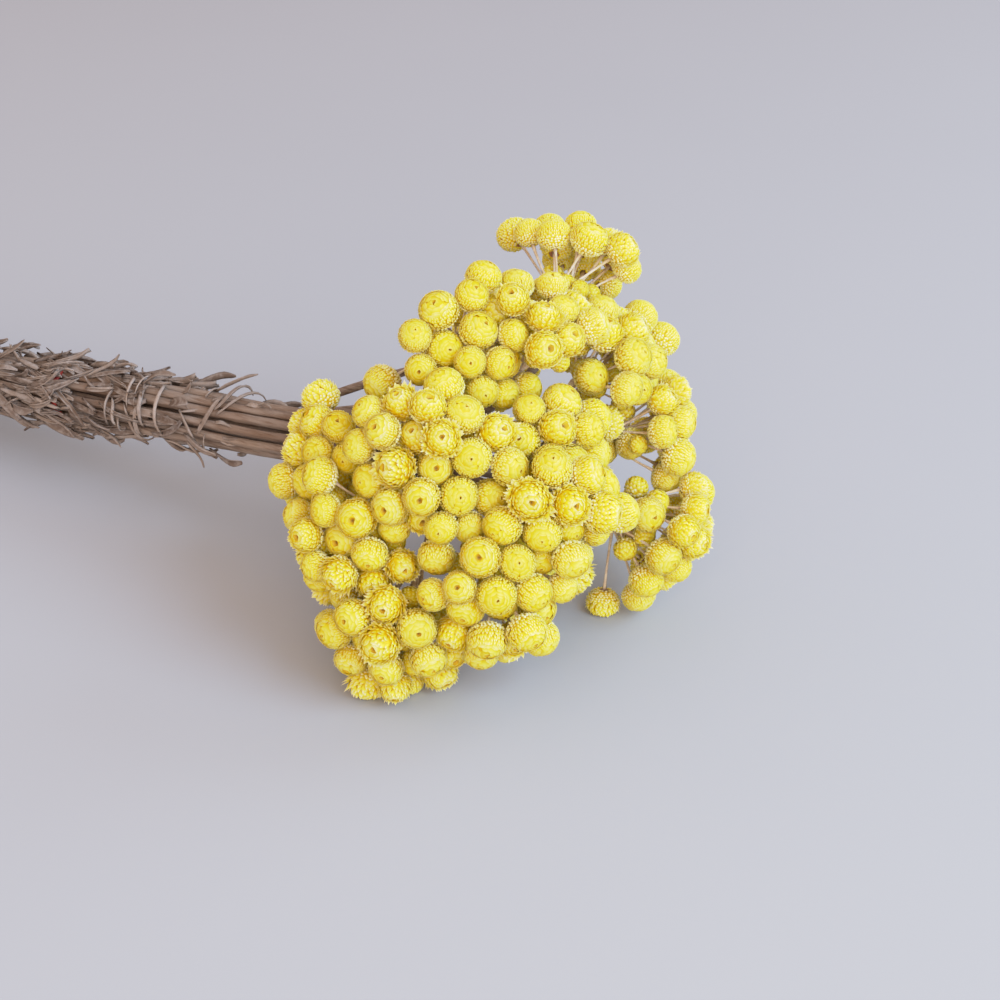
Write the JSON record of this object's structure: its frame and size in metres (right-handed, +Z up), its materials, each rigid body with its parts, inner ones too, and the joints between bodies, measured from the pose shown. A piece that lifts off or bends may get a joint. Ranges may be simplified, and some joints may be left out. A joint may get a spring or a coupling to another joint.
{
  "type": "dried strawflower bunch",
  "caption": "Bunch of dried strawflowers lying on its side: leafy woody stems held by an elastic band, with branched clusters of papery yellow button heads.",
  "frame": {"origin": "middle of the bunch's box, on the surface that it lies on", "axes": "+X from the cut stem ends to the flowers, +Z up off the surface, +Y to the far side"},
  "size_m": [0.3212, 0.1132, 0.0978],
  "materials": {
    "blooms": "dry papery bracts, satin, yellow with paler outer tips",
    "stem": "matt fibrous brown stalk with withered grey-brown leaves",
    "band": "matt red elastic"
  },
  "bodies": {
    "root": {"spray_01_stem": "stem", "spray_01_blooms": "blooms", "spray_02_stem": "stem", "spray_02_blooms": "blooms", "spray_03_stem": "stem", "spray_03_blooms": "blooms", "spray_04_stem": "stem", "spray_04_blooms": "blooms", "spray_05_stem": "stem", "spray_05_blooms": "blooms", "spray_06_stem": "stem", "spray_06_blooms": "blooms", "spray_07_stem": "stem", "spray_07_blooms": "blooms", "spray_08_stem": "stem", "spray_08_blooms": "blooms", "spray_09_stem": "stem", "spray_09_blooms": "blooms", "spray_10_stem": "stem", "spray_10_blooms": "blooms", "spray_11_stem": "stem", "spray_11_blooms": "blooms", "spray_12_stem": "stem", "spray_12_blooms": "blooms", "spray_13_stem": "stem", "spray_13_blooms": "blooms", "spray_14_stem": "stem", "spray_14_blooms": "blooms", "spray_15_stem": "stem", "spray_15_blooms": "blooms", "spray_16_stem": "stem", "spray_16_blooms": "blooms", "binding_band": "band"}
  },
  "joints": []
}
